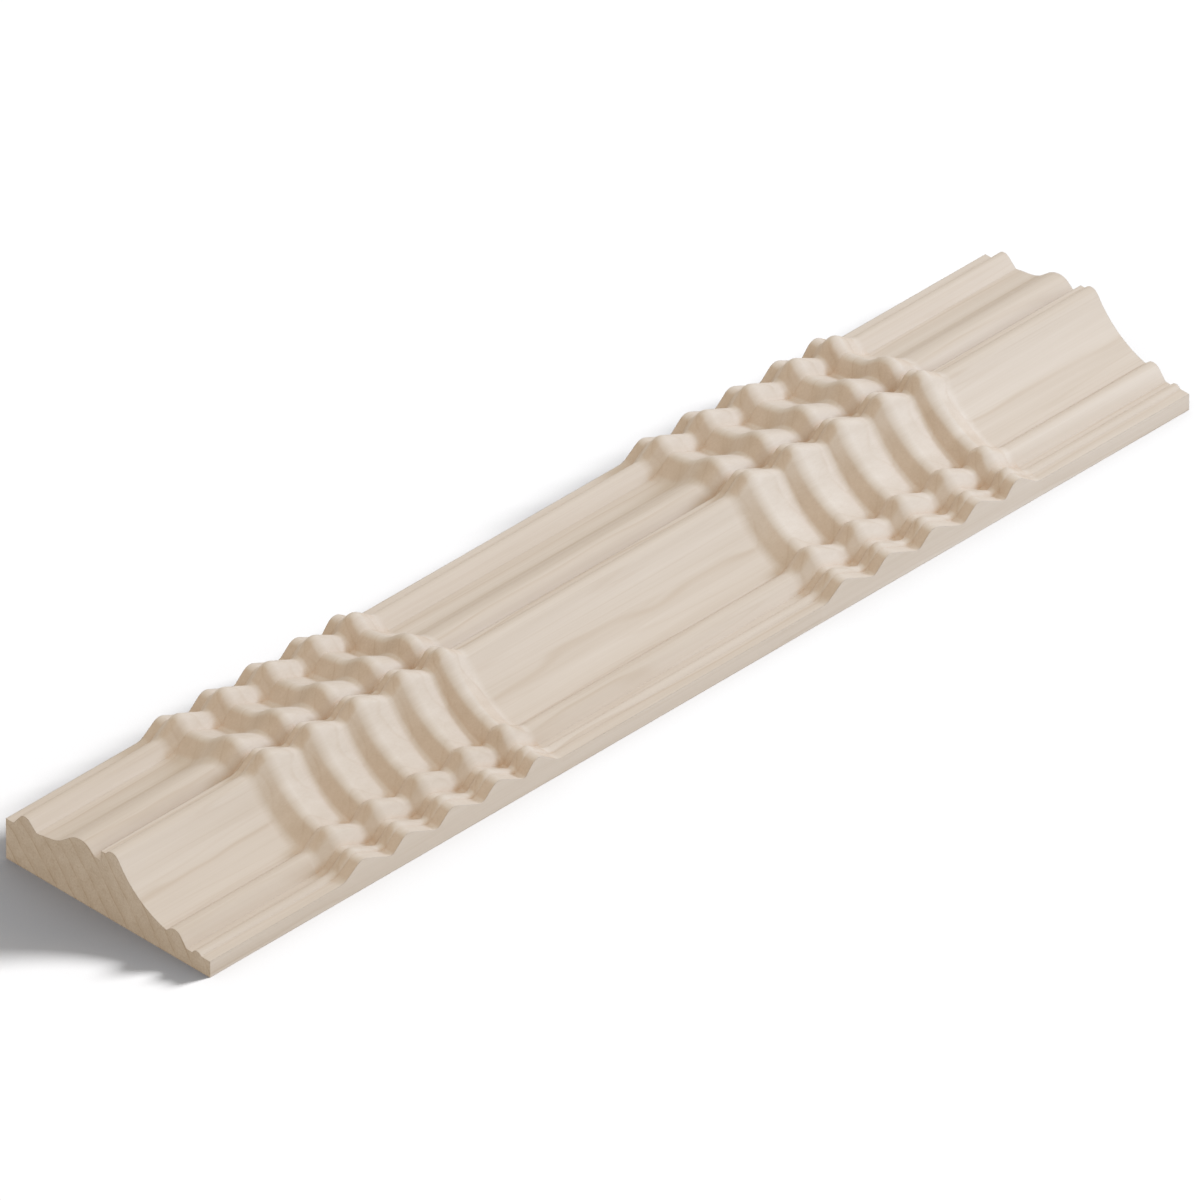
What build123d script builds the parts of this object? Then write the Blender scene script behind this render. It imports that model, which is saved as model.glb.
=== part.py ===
from build123d import *
import os
from math import asin, atan2, cos, hypot, sin, sqrt

# Ripple moulding: one length of straight-grained wood, moulded on its top face.
# A scraper ground to the section was drawn along the stock while a template
# lifted it, so every member of the section rises and falls together over two
# groups of ripples, with plain moulding before, between and after them.
# Sizes are in mm. In the section, y runs from the front edge to the back edge
# and z runs up from the flat underside.

# Stock
LENGTH = 300.0
WIDTH = 62.5

# Front lip, small bead and front fillet
LIP_HEIGHT = 4.2
LIP_WIDTH = 2.75
SMALL_BEAD_WIDTH = 2.65
SMALL_BEAD_RISE = 0.85
FRONT_FILLET_DROP = 0.25
FRONT_FILLET_WIDTH = 1.8

# Front bead, rising from the fillet and dropping to a sharp quirk
FRONT_BEAD_RISE = 3.3
FRONT_BEAD_FRONT = 3.65
FRONT_BEAD_BACK = 2.55
FRONT_BEAD_RADIUS = 2.3
QUIRK_DEPTH = 1.45

# Large cove, which runs up into the upper bead and takes the width left over
COVE_RADIUS = 24.6
UPPER_BEAD_HEIGHT = 17.87
UPPER_BEAD_RADIUS = 2.2

# Ledge behind the upper bead, measured from its peak, and the groove below it
LEDGE_DROP = 1.22
LEDGE_WIDTH = 3.4
GROOVE_DEPTH = 2.55
GROOVE_WIDTH = 2.0

# Torus, rising from the groove and falling as an ogee into the hollow
TORUS_RISE = 2.37
TORUS_FRONT = 4.1
TORUS_FRONT_RADIUS = 3.8
TORUS_BACK_RADIUS = 5.8
HOLLOW_DEPTH = 5.22
HOLLOW_WIDTH = 13.7
HOLLOW_RADIUS = 6.8
HOLLOW_FLOOR = 4.95
HOLLOW_FALL = 0.88

# Back bead, rising from the hollow, and the back fillet
BACK_BEAD_RISE = 2.62
BACK_BEAD_FRONT = 3.5
BACK_BEAD_BACK = 3.6
BACK_BEAD_RADIUS = 1.85
BACK_FILLET_DROP = 3.37
BACK_FILLET_WIDTH = 2.3

# Ripples, set out along the length from the left end. Each one rises straight
# and steep from a sharp trough, turns over a round crest and falls more slowly
GROUP_COUNT = 2
GROUP_START = 40.6
GROUP_SPACING = 147.3
RIPPLE_COUNT = 5
RIPPLE_HEIGHT = 3.6
LEAD_IN = 5.8
RIPPLE_FALL = 8.7
RIPPLE_RISE = 5.05
LAST_FALL = 7.8
LAST_RISE = 4.3
RUN_OUT = 6.1
CREST_RADIUS = 2.8

# The scraper overruns the stock on every side
OVERRUN = 4.0


def corner(across, up):
    """A sharp corner, as a circle of no size."""
    return (across, up, 0.0)


def crown(across, top, radius):
    """A circle that the outline passes over."""
    return (across, top - radius, -radius)


def heading(a, b):
    """The direction of the straight that touches two circles on its way from a to b."""
    across = b[0] - a[0]
    up = b[1] - a[1]
    return atan2(up, across) - asin((b[2] - a[2]) / hypot(across, up))


def touch(circle, angle):
    """The point of a circle where the outline has this direction."""
    across, up, radius = circle
    return (across + radius * sin(angle), up - radius * cos(angle))


def run(circles, start=None, end=None):
    """Straights and tangent arcs through circles and corners, with the directions at its ends."""
    angles = [start] + [heading(a, b) for a, b in zip(circles, circles[1:])] + [end]
    edges = []
    for i, circle in enumerate(circles):
        before = angles[i]
        after = angles[i + 1]
        if circle[2] and before is not None and after is not None:
            middle = touch(circle, (before + after) / 2)
            edges.append(ThreePointArc(touch(circle, before), middle, touch(circle, after)))
        if i + 1 < len(circles):
            edges.append(Line(touch(circle, after), touch(circles[i + 1], after)))
    return edges


def cove(foot, bead):
    """The arc from a foot that runs tangent into a bead, and the point where they meet."""
    across = bead[0] - foot[0]
    up = bead[1] - foot[1]
    span = hypot(across, up)
    reach = COVE_RADIUS - bead[2]
    along = (span**2 + COVE_RADIUS**2 - reach**2) / (2 * span)
    aside = sqrt(COVE_RADIUS**2 - along**2)
    centre_y = foot[0] + (along * across - aside * up) / span
    centre_z = foot[1] + (along * up + aside * across) / span
    circle = (centre_y, centre_z, COVE_RADIUS)
    low = atan2(foot[0] - centre_y, centre_z - foot[1])
    high = atan2(bead[0] - centre_y, centre_z - bead[1])
    meeting = touch(circle, high)
    return ThreePointArc(foot, touch(circle, (low + high) / 2), meeting), meeting


def section():
    """The outline of the moulded face from beyond the front edge to beyond the back edge."""
    bead_end = (LIP_WIDTH + SMALL_BEAD_WIDTH, LIP_HEIGHT - FRONT_FILLET_DROP)
    front_bead_y = bead_end[0] + FRONT_FILLET_WIDTH + FRONT_BEAD_FRONT
    front_bead_top = bead_end[1] + FRONT_BEAD_RISE
    quirk = (front_bead_y + FRONT_BEAD_BACK, front_bead_top - QUIRK_DEPTH)

    back_bead_y = WIDTH - BACK_FILLET_WIDTH - BACK_BEAD_BACK
    hollow_end = back_bead_y - BACK_BEAD_FRONT
    torus_y = hollow_end - HOLLOW_WIDTH
    groove_end = torus_y - TORUS_FRONT
    ledge_end = groove_end - GROOVE_WIDTH
    upper_y = ledge_end - LEDGE_WIDTH

    ledge = UPPER_BEAD_HEIGHT - LEDGE_DROP
    groove = ledge - GROOVE_DEPTH
    torus_top = groove + TORUS_RISE
    hollow_low = torus_top - HOLLOW_DEPTH
    back_bead_top = hollow_low + BACK_BEAD_RISE
    back_fillet = back_bead_top - BACK_FILLET_DROP

    lip_end = (LIP_WIDTH, LIP_HEIGHT)
    edges = [Line((-OVERRUN, LIP_HEIGHT), lip_end)]
    edges.append(SagittaArc(lip_end, bead_end, SMALL_BEAD_RISE))
    edges += run([
        corner(*bead_end),
        corner(bead_end[0] + FRONT_FILLET_WIDTH, bead_end[1]),
        crown(front_bead_y, front_bead_top, FRONT_BEAD_RADIUS),
        corner(*quirk),
    ])

    upper_bead = crown(upper_y, UPPER_BEAD_HEIGHT, UPPER_BEAD_RADIUS)
    cove_arc, meeting = cove(quirk, upper_bead)
    ledge_run = sqrt(UPPER_BEAD_RADIUS**2 - (ledge - upper_bead[1]) ** 2)
    ledge_start = (upper_y + ledge_run, ledge)
    edges.append(cove_arc)
    edges.append(ThreePointArc(meeting, (upper_y, UPPER_BEAD_HEIGHT), ledge_start))
    edges += run([
        corner(*ledge_start),
        corner(ledge_end, ledge),
        corner(ledge_end, groove),
        corner(groove_end, groove),
        crown(torus_y, torus_top, TORUS_FRONT_RADIUS),
    ], end=0.0)

    floor_angle = -asin(HOLLOW_FALL / HOLLOW_FLOOR)
    hollow = (
        hollow_end - HOLLOW_FLOOR * cos(floor_angle) - HOLLOW_RADIUS * sin(floor_angle),
        hollow_low - HOLLOW_FLOOR * sin(floor_angle) + HOLLOW_RADIUS * cos(floor_angle),
        HOLLOW_RADIUS,
    )
    edges += run([
        crown(torus_y, torus_top, TORUS_BACK_RADIUS),
        hollow,
        corner(hollow_end, hollow_low),
        crown(back_bead_y, back_bead_top, BACK_BEAD_RADIUS),
        corner(back_bead_y + BACK_BEAD_BACK, back_fillet),
        corner(WIDTH + OVERRUN, back_fillet),
    ], start=0.0)
    return edges


def template():
    """The rise and fall of the scraper from beyond the left end to beyond the right end."""
    stops = [corner(-OVERRUN, 0.0)]
    for group in range(GROUP_COUNT):
        x = GROUP_START + group * GROUP_SPACING
        stops.append(corner(x, 0.0))
        x += LEAD_IN
        for ripple in range(RIPPLE_COUNT - 1):
            last = ripple == RIPPLE_COUNT - 2
            stops.append(crown(x, RIPPLE_HEIGHT, CREST_RADIUS))
            x += LAST_FALL if last else RIPPLE_FALL
            stops.append(corner(x, 0.0))
            x += LAST_RISE if last else RIPPLE_RISE
        stops.append(crown(x, RIPPLE_HEIGHT, CREST_RADIUS))
        stops.append(corner(x + RUN_OUT, 0.0))
    stops.append(corner(LENGTH + OVERRUN, 0.0))
    return run(stops)


stock_height = UPPER_BEAD_HEIGHT + RIPPLE_HEIGHT + OVERRUN / 2
scraper_top = stock_height + OVERRUN
edge = section()
closing = Polyline(
    edge[-1] @ 1,
    (WIDTH + OVERRUN, scraper_top),
    (-OVERRUN, scraper_top),
    edge[0] @ 0,
)
scraper = Pos(-OVERRUN, 0, 0) * (Plane.YZ * make_face(edge + [closing]))
path = Plane.XZ * Wire(template())
waste = sweep(scraper, path, normal=(1, 0, 0))

stock = Box(LENGTH, WIDTH, stock_height, align=(Align.MIN, Align.MIN, Align.MIN))
moulding = Pos(-LENGTH / 2, -WIDTH / 2, 0) * (stock - waste)

os.makedirs("parts", exist_ok=True)
export_step(moulding, "parts/moulding.step")
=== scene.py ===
from math import cos, radians, sin

import bpy
import numpy as np
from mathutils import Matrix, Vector


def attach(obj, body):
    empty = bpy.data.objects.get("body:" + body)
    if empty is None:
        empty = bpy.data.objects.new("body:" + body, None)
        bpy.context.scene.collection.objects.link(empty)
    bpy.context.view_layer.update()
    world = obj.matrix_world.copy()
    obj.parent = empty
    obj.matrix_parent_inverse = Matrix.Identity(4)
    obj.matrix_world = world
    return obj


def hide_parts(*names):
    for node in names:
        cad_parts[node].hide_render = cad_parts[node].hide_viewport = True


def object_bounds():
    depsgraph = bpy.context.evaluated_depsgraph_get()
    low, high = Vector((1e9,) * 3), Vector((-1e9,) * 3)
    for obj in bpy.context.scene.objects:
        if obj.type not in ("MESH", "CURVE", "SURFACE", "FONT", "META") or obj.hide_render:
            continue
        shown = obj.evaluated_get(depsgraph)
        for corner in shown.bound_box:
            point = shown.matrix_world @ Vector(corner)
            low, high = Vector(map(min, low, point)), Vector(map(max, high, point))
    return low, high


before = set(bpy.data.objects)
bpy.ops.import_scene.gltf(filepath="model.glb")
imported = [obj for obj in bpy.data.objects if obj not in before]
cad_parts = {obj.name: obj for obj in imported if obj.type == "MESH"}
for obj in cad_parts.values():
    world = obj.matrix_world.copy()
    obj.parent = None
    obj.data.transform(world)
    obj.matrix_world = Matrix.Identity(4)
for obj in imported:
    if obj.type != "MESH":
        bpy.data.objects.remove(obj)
cad_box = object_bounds()

scene = bpy.context.scene
scene.view_settings.view_transform = "Standard"

# Lengths are in metres, except where a comment gives mm. Colours are linear

# The camera looks from the front left, as in a true isometric, from far off so that the view is nearly
# parallel. The frame's width is measured at the point it looks at, and the lens and film are in mm
AZIMUTH = radians(-45.0)
ELEVATION = radians(35.3)
FRAME_WIDTH = 0.26022
AIM = Vector((0.00852, 0.00881, 0.0))
LENS = 1700.0
FILM_WIDTH = 36.0
CLIP_END = 40.0

# The key light is a large disc, low on the right and a little to the front
TO_KEY = Vector((0.813, -0.348, 0.467)).normalized()
KEY_DISTANCE = 1.8
KEY_SIZE = 0.5
KEY_POWER = 13.7
KEY_COLOUR = (0.82, 1.0, 1.22)

# The fill is strongest overhead and a little stronger in front. The camera sees plain paper instead
FILL_EVEN = 0.362
FILL_ABOVE = 0.415
FILL_FRONT = 0.185
FILL_COLOUR = (1.11, 1.0, 0.835, 1.0)
PAPER = (1.0, 1.0, 1.0, 1.0)

# What the camera sees of the floor answers mostly to light from a cone round the key, which keeps its
# shadow deep. The rest is white of its own, dimmed close to the object as a painted contact shadow and
# tinted there so that the shadow comes out grey. Well beyond the object, the floor is all white
FLOOR_SIZE = 4.0
FLOOR_LEAN = Vector((0.865, -0.366, 0.427)).normalized()
FLOOR_CONE = 0.17
FLOOR_SOFT = 0.08
FLOOR_SEEN = (0.555, 0.454, 0.376)
FLOOR_WHITE = 0.25
WHITE = (1.0, 1.02, 1.05, 1.0)
SHADE = (0.90, 1.06, 1.20, 1.0)
CONTACT_SHADE_REACH = 0.04
WHITE_FROM = 0.22
WHITE_TO = 0.45
FLOOR_BOUNCE = (0.80, 0.80, 0.80, 1.0)

# The troughs of the ripples are eased by a ball rolled along the wave, and the feet of each group by a
# larger one, kept out of the troughs by a bar longer than a ripple. Sharp arrises are softened
TROUGH_RADIUS = 0.0014
FOOT_RADIUS = 0.0040
BAR_LENGTH = 0.016
WAVE_STEP = 0.0003
ARRIS = 0.0003
SHARP = radians(28.0)
DECIMALS = 6
TINY = 1e-6

# Growth rings lie round a heart below and behind the section, in mm. Their lines are (place in the
# ring, depth), deeper on the ends and fainter on the ripples, and uneven from patch to patch
MM_PER_METRE = 1000.0
HEART = (0.0, 110.7, -77.4)
RING_SPACING = 4.37
RING_START = 166.16
RING_WAVER = 0.7
RING_LINE = [(0.0, 1.0), (0.06, 0.0), (0.60, 0.0), (0.92, 0.30), (1.0, 1.0)]
PATCHES = [(0.3, 0.35), (0.7, 1.0)]
LINE_DEPTH = 0.34
END_DEPTH = 0.34
RIPPLE_FADE = 0.45

# Streaks, fibres and pores change the tone of the wood, which grows warmer as it darkens. Thin threads
# lie where sheets of noise are cut
PLAIN_TONE = 0.845
STREAKS = 0.23
FIBRES = 0.08
PORES = 0.35
WARMTH = (1.0, 1.25, 1.6)
SHEETS = 3.0
THREAD_LINE = [(0.0, 1.0), (0.09, 0.0)]
THREAD_DEPTH = 0.30

# Cells of noise to the mm, along the grain and across it
WAVER_CELLS = (0.022, 0.08)
PATCH_CELLS = (0.012, 0.35)
STREAK_CELLS = (0.009, 0.25)
FIBRE_CELLS = (0.045, 2.6)
SHEET_CELLS = (0.008, 0.30)
PORE_CELLS = (2.0, 2.0)

# Wood is darker where it is cut across the fibres. Painted shade in warm brown darkens the corners and
# creases and the steep sides of the ripples. The curves are (steepness, share) and (openness, share)
PALE = (0.725, 0.655, 0.597, 1.0)
LATE = (0.520, 0.400, 0.290, 1.0)
END_GRAIN = (0.878, 0.840, 0.784, 1.0)
CREASE_SHADE_COLOUR = (0.900, 0.645, 0.405, 1.0)
CUT_ACROSS = [(0.08, 0.0), (0.42, 0.55), (1.0, 1.0)]
CREASE_SHADE_CURVE = [(0.30, 1.0), (0.78, 0.0)]
CREASE_SHADE_REACH = 0.003
PLAIN_CREASE_SHADE = 0.10
STEEP_SHADE = 0.33

# The bare scraped finish
ROUGHNESS = 0.60
FIBRE_ROUGHNESS = 0.12
FIBRE_RELIEF = 0.00004
RELIEF_STRENGTH = 0.2
SHINE = 0.2


def add(tree, kind, inputs=None, **settings):
    """A node with its settings, its constants and its links."""
    node = tree.nodes.new(kind)
    for name, value in settings.items():
        setattr(node, name, value)
    for key, value in (inputs or {}).items():
        if isinstance(value, bpy.types.NodeSocket):
            tree.links.new(value, node.inputs[key])
        else:
            node.inputs[key].default_value = value
    return node


def calc(tree, operation, *values):
    """The result of a sum on sockets and numbers."""
    return add(tree, "ShaderNodeMath", dict(enumerate(values)), operation=operation).outputs[0]


def vector(tree, operation, output, inputs):
    """One result of a sum on vectors."""
    return add(tree, "ShaderNodeVectorMath", inputs, operation=operation).outputs[output]


def noise(tree, point, cells, detail=2.0, roughness=0.5):
    """Noise from 0 to 1 whose cells are stretched along the grain."""
    along, across = cells
    scaled = vector(tree, "MULTIPLY", "Vector", {0: point, 1: (along, across, across)})
    settings = {"Vector": scaled, "Scale": 1.0, "Detail": detail, "Roughness": roughness}
    return add(tree, "ShaderNodeTexNoise", settings).outputs[0]


def curve(tree, value, stops):
    """A smooth curve through (position, height) stops."""
    node = add(tree, "ShaderNodeValToRGB", {0: value})
    node.color_ramp.interpolation = "EASE"
    elements = node.color_ramp.elements
    while len(elements) < len(stops):
        elements.new(0.5)
    for element, (position, height) in zip(elements, stops):
        element.position = position
        element.color = (height, height, height, 1.0)
    return node.outputs[0]


def centred(tree, value):
    """A value from 0 to 1, measured from the middle."""
    return calc(tree, "SUBTRACT", value, 0.5)


def blend(tree, factor, a, b, mode="MIX"):
    """One colour laid over another. A mix node has its colours in sockets 6 and 7, and gives them in 2."""
    node = add(tree, "ShaderNodeMix", {0: factor, 6: a, 7: b}, data_type="RGBA", blend_type=mode)
    return node.outputs[2]


def layer(tree, factor, a, b):
    """One shader laid over another."""
    return add(tree, "ShaderNodeMixShader", {0: factor, 1: a, 2: b}).outputs[0]


def seen(tree):
    """One for rays from the camera, straight, mirrored or through glass, and zero for bounced light."""
    rays = add(tree, "ShaderNodeLightPath").outputs
    mirrored = calc(tree, "MAXIMUM", rays["Is Glossy Ray"], rays["Is Transmission Ray"])
    return calc(tree, "MAXIMUM", rays["Is Camera Ray"], mirrored)


def ring_lines(tree, point):
    """The lines of the rings, which are shells round the heart that run along the length and waver."""
    section = vector(tree, "MULTIPLY", "Vector", {0: point, 1: (0.0, 1.0, 1.0)})
    from_heart = vector(tree, "DISTANCE", "Value", {0: section, 1: HEART})
    ring = calc(tree, "DIVIDE", calc(tree, "SUBTRACT", RING_START, from_heart), RING_SPACING)
    waver = centred(tree, noise(tree, point, WAVER_CELLS))
    ring = calc(tree, "MULTIPLY_ADD", waver, RING_WAVER, ring)
    line = curve(tree, calc(tree, "FRACT", ring), RING_LINE)
    return calc(tree, "MULTIPLY", line, curve(tree, noise(tree, point, PATCH_CELLS), PATCHES))


def threads(tree, point):
    """Thin lines that wander along the grain."""
    sheets = calc(tree, "MULTIPLY", noise(tree, point, SHEET_CELLS, detail=1.0), SHEETS)
    beside = calc(tree, "ABSOLUTE", centred(tree, calc(tree, "FRACT", sheets)))
    return calc(tree, "MULTIPLY", curve(tree, beside, THREAD_LINE), THREAD_DEPTH)


def wood():
    """Pale straight-grained wood whose rings lean back through the section."""
    material = bpy.data.materials.new("wood")
    material.use_nodes = True
    tree = material.node_tree
    shader = tree.nodes["Principled BSDF"]

    place = add(tree, "ShaderNodeTexCoord").outputs["Object"]
    point = vector(tree, "SCALE", "Vector", {0: place, "Scale": MM_PER_METRE})
    normal = add(tree, "ShaderNodeNewGeometry").outputs["Normal"]
    across = add(tree, "ShaderNodeSeparateXYZ", {0: normal}).outputs["X"]
    steepness = calc(tree, "MULTIPLY", across, across)
    rippled = add(tree, "ShaderNodeAttribute", attribute_name="rippled").outputs["Fac"]

    # Lines of the rings and threads
    depth = calc(tree, "MULTIPLY_ADD", steepness, END_DEPTH, LINE_DEPTH)
    depth = calc(tree, "MULTIPLY", depth, calc(tree, "MULTIPLY_ADD", rippled, -RIPPLE_FADE, 1.0))
    line = calc(tree, "MAXIMUM", ring_lines(tree, point), threads(tree, point))
    colour = blend(tree, calc(tree, "MULTIPLY", line, depth), PALE, LATE)

    # Soft streaks and fine fibres along the grain, and pores where the fibres are cut across
    streaks = noise(tree, point, STREAK_CELLS, detail=3.0, roughness=0.55)
    fibres = noise(tree, point, FIBRE_CELLS, detail=3.0, roughness=0.6)
    pores = centred(tree, noise(tree, point, PORE_CELLS, detail=3.0, roughness=0.6))
    tone = calc(tree, "MULTIPLY_ADD", streaks, STREAKS, PLAIN_TONE)
    tone = calc(tree, "MULTIPLY_ADD", fibres, FIBRES, tone)
    tone = calc(tree, "MULTIPLY_ADD", calc(tree, "MULTIPLY", pores, steepness), PORES, tone)
    warm = {channel: calc(tree, "POWER", tone, power) for channel, power in enumerate(WARMTH)}
    colour = blend(tree, 1.0, colour, add(tree, "ShaderNodeCombineColor", warm).outputs[0], "MULTIPLY")

    # End grain, and painted shade in warm brown in the creases and on the steep sides of the ripples
    cut = curve(tree, steepness, CUT_ACROSS)
    colour = blend(tree, cut, colour, END_GRAIN, "MULTIPLY")
    # Painted shade: closed-in creases are darkened, more on the ripples than on the plain moulding
    reach = {"Distance": CREASE_SHADE_REACH}
    openness_for_shade = add(tree, "ShaderNodeAmbientOcclusion", reach, samples=3, only_local=True).outputs["AO"]
    share = calc(tree, "MULTIPLY_ADD", rippled, 1.0 - PLAIN_CREASE_SHADE, PLAIN_CREASE_SHADE)
    crease_shade = calc(tree, "MULTIPLY", curve(tree, openness_for_shade, CREASE_SHADE_CURVE), share)
    # Painted shade on the steep sides of the ripples, which lie mostly away from the key
    steep_shade = calc(tree, "MULTIPLY", calc(tree, "MULTIPLY", cut, rippled), STEEP_SHADE)
    colour = blend(tree, calc(tree, "MAXIMUM", crease_shade, steep_shade), colour, CREASE_SHADE_COLOUR, "MULTIPLY")

    # Softened arrises under the fine relief of the fibres
    bevel = add(tree, "ShaderNodeBevel", {"Radius": ARRIS}, samples=4).outputs[0]
    relief = {"Strength": RELIEF_STRENGTH, "Distance": FIBRE_RELIEF, "Height": fibres, "Normal": bevel}
    surface = add(tree, "ShaderNodeBump", relief).outputs[0]
    rough = calc(tree, "MULTIPLY_ADD", fibres, FIBRE_ROUGHNESS, ROUGHNESS)

    tree.links.new(colour, shader.inputs["Base Color"])
    tree.links.new(rough, shader.inputs["Roughness"])
    tree.links.new(surface, shader.inputs["Normal"])
    shader.inputs["Specular IOR Level"].default_value = SHINE
    return material


def upper_outline(corners, axis):
    """The upper outline of corners in one plane, as (place along the axis, height) in order.

    Where it drops straight down, the upper corner comes first.
    """
    outline = {(round(c[axis], DECIMALS), round(c.z, DECIMALS)) for c in corners if c.z > TINY}
    return sorted(outline, key=lambda point: (point[0], -point[1]))


def ball(radius):
    """How far the underside of a ball lies below its middle, at each step of the wave across it."""
    reach = int(radius / WAVE_STEP)
    offsets = np.arange(-reach, reach + 1) * WAVE_STEP
    return np.sqrt(radius**2 - offsets**2)


def fill(heights, underside):
    """A wave filled wherever a tool with this underside, moved all along it, can't reach down to it."""
    reach = len(underside) // 2
    for pick, sign in ((np.max, 1.0), (np.min, -1.0)):
        padded = np.pad(heights, reach, mode="edge")
        windows = np.lib.stride_tricks.sliding_window_view(padded, len(underside))
        heights = pick(windows + sign * underside, axis=1)
    return heights


def eased(heights):
    """A wave with its troughs and the feet of its groups rounded."""
    bar = np.zeros(2 * int(BAR_LENGTH / 2 / WAVE_STEP) + 1)
    bridged = fill(heights, bar)
    troughs = fill(heights, ball(TROUGH_RADIUS))
    feet = fill(bridged, ball(FOOT_RADIUS))
    return np.where(bridged > heights + TINY, troughs, feet)


def eased_moulding(solid):
    """The solid's own section carried along its own wave, whose troughs and feet are rounded."""
    corners = [vertex.co for vertex in solid.data.vertices]
    left, front, _ = cad_box[0]
    right, back, _ = cad_box[1]
    section = upper_outline([c for c in corners if c.x < left + TINY], axis=1)
    wave = upper_outline([c for c in corners if c.y < front + TINY], axis=0)

    # Stations along the length, left out where the moulding is plain
    places = np.linspace(left, right, round((right - left) / WAVE_STEP) + 1)
    heights = eased(np.interp(places, *zip(*wave)) - wave[0][1])
    level = np.maximum(heights, np.maximum(np.roll(heights, 1), np.roll(heights, -1))) < TINY
    level[[0, -1]] = False
    stations = [(x, lift) for x, lift, flat in zip(places, heights, level) if not flat]

    # A ring of points at each station, joined to the next, with a face on each end
    points = []
    for x, lift in stations:
        points.append((x, front, 0.0))
        points += [(x, y, z + lift) for y, z in section]
        points.append((x, back, 0.0))
    count = len(section) + 2
    ring = range(count)
    faces = [tuple(ring), tuple(reversed(range(len(points) - count, len(points))))]
    for start in range(0, len(points) - count, count):
        for i in ring:
            j = (i + 1) % count
            faces.append((start + i, start + count + i, start + count + j, start + j))

    mesh = bpy.data.meshes.new("eased_moulding")
    mesh.from_pydata(points, [], faces)
    rippled = mesh.attributes.new("rippled", "FLOAT", "POINT")
    rippled.data.foreach_set("value", [float(lift > TINY) for _, lift in stations for _ in ring])
    mesh.shade_smooth()
    mesh.set_sharp_from_angle(angle=SHARP)
    piece = bpy.data.objects.new(mesh.name, mesh)
    scene.collection.objects.link(piece)
    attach(piece, "root")
    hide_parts(solid.name)
    return piece


def floor_white():
    """The floor's material: white to the camera save in the key's shadow and a painted contact shadow, and
    plain to other light.
    """
    material = bpy.data.materials.new("white")
    material.use_nodes = True
    tree = material.node_tree
    tree.nodes.remove(tree.nodes["Principled BSDF"])
    place = add(tree, "ShaderNodeTexCoord").outputs["Object"]

    # The part that answers to the key, evened out for its distance from each place
    lean = add(tree, "ShaderNodeCombineXYZ", dict(enumerate(FLOOR_LEAN))).outputs[0]
    from_key = vector(tree, "DISTANCE", "Value", {0: place, 1: tuple(TO_KEY * KEY_DISTANCE)})
    evened = calc(tree, "POWER", calc(tree, "DIVIDE", from_key, KEY_DISTANCE), 2.0)
    colour = vector(tree, "SCALE", "Vector", {0: FLOOR_SEEN, "Scale": evened})
    cone = {"Color": colour, "Size": FLOOR_CONE, "Smooth": FLOOR_SOFT, "Normal": lean}
    lit = add(tree, "ShaderNodeBsdfToon", cone, component="DIFFUSE").outputs[0]

    # The part that is white of its own, dimmed near the object by a painted contact shadow
    away = vector(tree, "LENGTH", "Value", {0: place})
    ease = {
        "Value": away,
        "From Min": WHITE_FROM,
        "From Max": WHITE_TO,
        "To Min": FLOOR_WHITE,
        "To Max": 1.0,
    }
    share = add(tree, "ShaderNodeMapRange", ease, interpolation_type="SMOOTHSTEP").outputs[0]
    # Painted contact shadow: the white is dimmed where the object closes in
    reach = {"Distance": CONTACT_SHADE_REACH}
    openness_for_shade = add(tree, "ShaderNodeAmbientOcclusion", reach, samples=4).outputs["AO"]
    glow = {"Color": blend(tree, share, SHADE, WHITE), "Strength": openness_for_shade}
    white = add(tree, "ShaderNodeEmission", glow).outputs[0]

    table = layer(tree, share, lit, white)
    bounce = add(tree, "ShaderNodeBsdfDiffuse", {"Color": FLOOR_BOUNCE}).outputs[0]
    mixed = layer(tree, seen(tree), bounce, table)
    tree.links.new(mixed, tree.nodes["Material Output"].inputs["Surface"])
    return material


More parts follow.
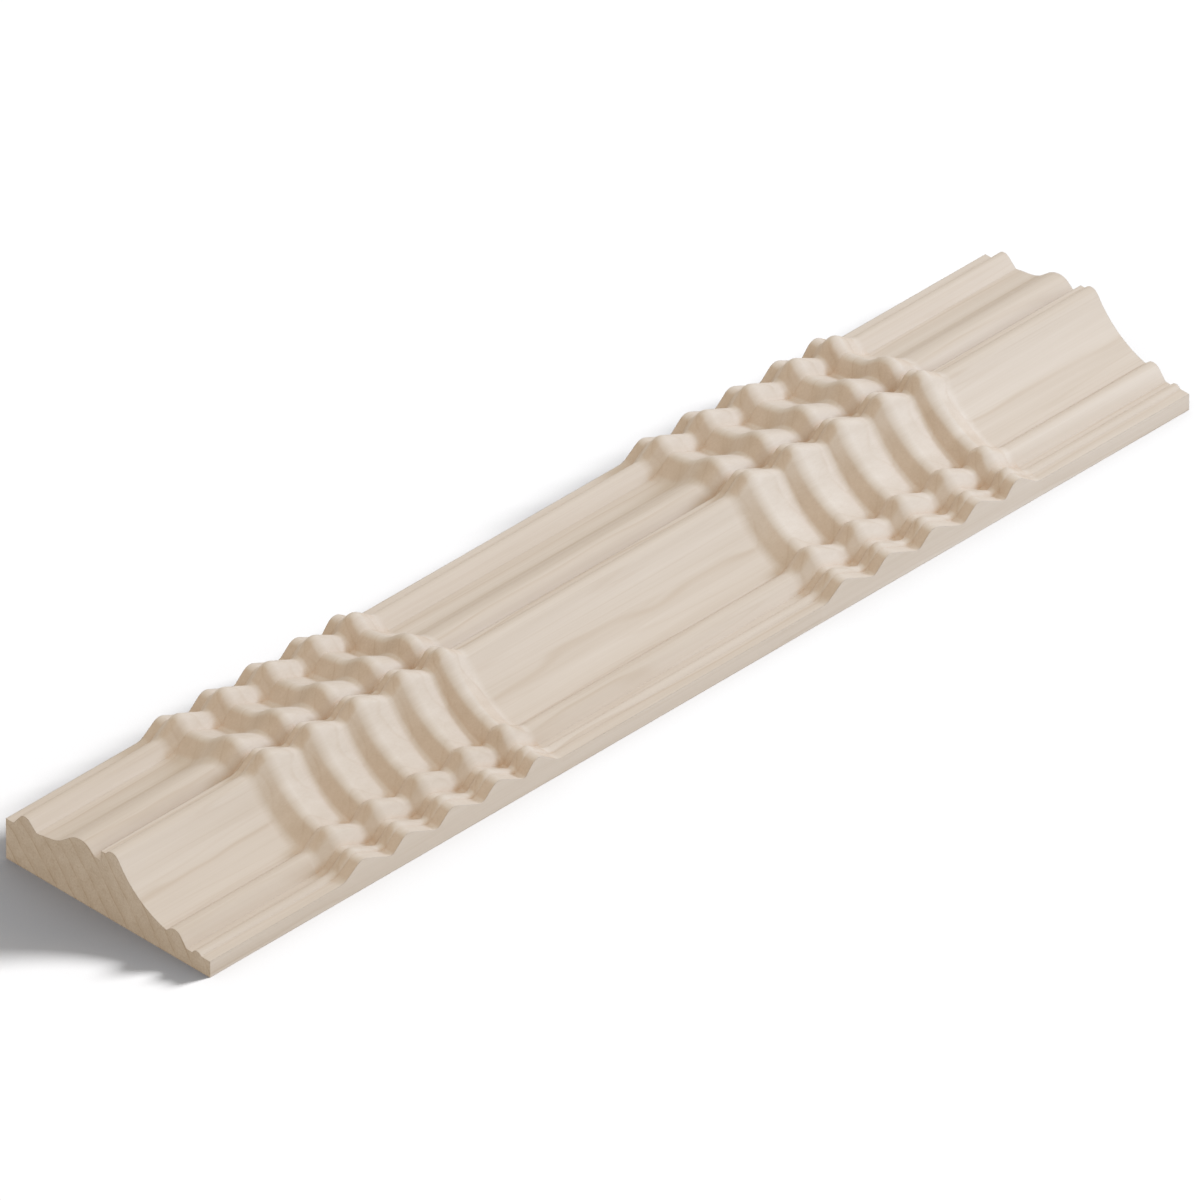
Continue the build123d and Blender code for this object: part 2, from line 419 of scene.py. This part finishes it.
def white_floor():
    """A white table that keeps the shadow of the key light."""
    bpy.ops.mesh.primitive_plane_add(size=FLOOR_SIZE)
    floor = bpy.context.object
    floor.name = "floor"
    floor.data.materials.append(floor_white())


def key_light():
    """A soft key light."""
    data = bpy.data.lights.new("key", "AREA")
    data.shape = "DISK"
    data.size = KEY_SIZE
    data.energy = KEY_POWER
    data.color = KEY_COLOUR
    key = bpy.data.objects.new("key", data)
    key.location = TO_KEY * KEY_DISTANCE
    key.rotation_euler = (-TO_KEY).to_track_quat("-Z", "Y").to_euler()
    scene.collection.objects.link(key)


def fill_light():
    """A fill from all round that the camera sees as a plain white background."""
    world = bpy.data.worlds.new("fill")
    world.use_nodes = True
    tree = world.node_tree
    toward = add(tree, "ShaderNodeTexCoord").outputs["Generated"]
    axes = add(tree, "ShaderNodeSeparateXYZ", {0: toward}).outputs
    above = calc(tree, "MAXIMUM", axes["Z"], 0.0)
    front = calc(tree, "MINIMUM", axes["Y"], 0.0)
    strength = calc(tree, "MULTIPLY_ADD", above, FILL_ABOVE, FILL_EVEN)
    strength = calc(tree, "MULTIPLY_ADD", front, -FILL_FRONT, strength)
    lamp = add(tree, "ShaderNodeBackground", {"Color": FILL_COLOUR, "Strength": strength}).outputs[0]
    paper = tree.nodes["Background"]
    paper.inputs["Color"].default_value = PAPER
    mixed = layer(tree, seen(tree), lamp, paper.outputs[0])
    tree.links.new(mixed, tree.nodes["World Output"].inputs["Surface"])
    scene.world = world


def camera():
    """The camera, far off on a long lens."""
    data = bpy.data.cameras.new("camera")
    data.lens = LENS
    data.sensor_width = FILM_WIDTH
    data.clip_end = CLIP_END
    eye = bpy.data.objects.new("camera", data)
    back = Vector((sin(AZIMUTH) * cos(ELEVATION), -cos(AZIMUTH) * cos(ELEVATION), sin(ELEVATION)))
    eye.location = AIM + back * (FRAME_WIDTH * LENS / FILM_WIDTH)
    eye.rotation_euler = (-back).to_track_quat("-Z", "Y").to_euler()
    scene.collection.objects.link(eye)
    scene.camera = eye


moulding = eased_moulding(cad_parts["moulding"])
moulding.data.materials.append(wood())
white_floor()
key_light()
fill_light()
camera()
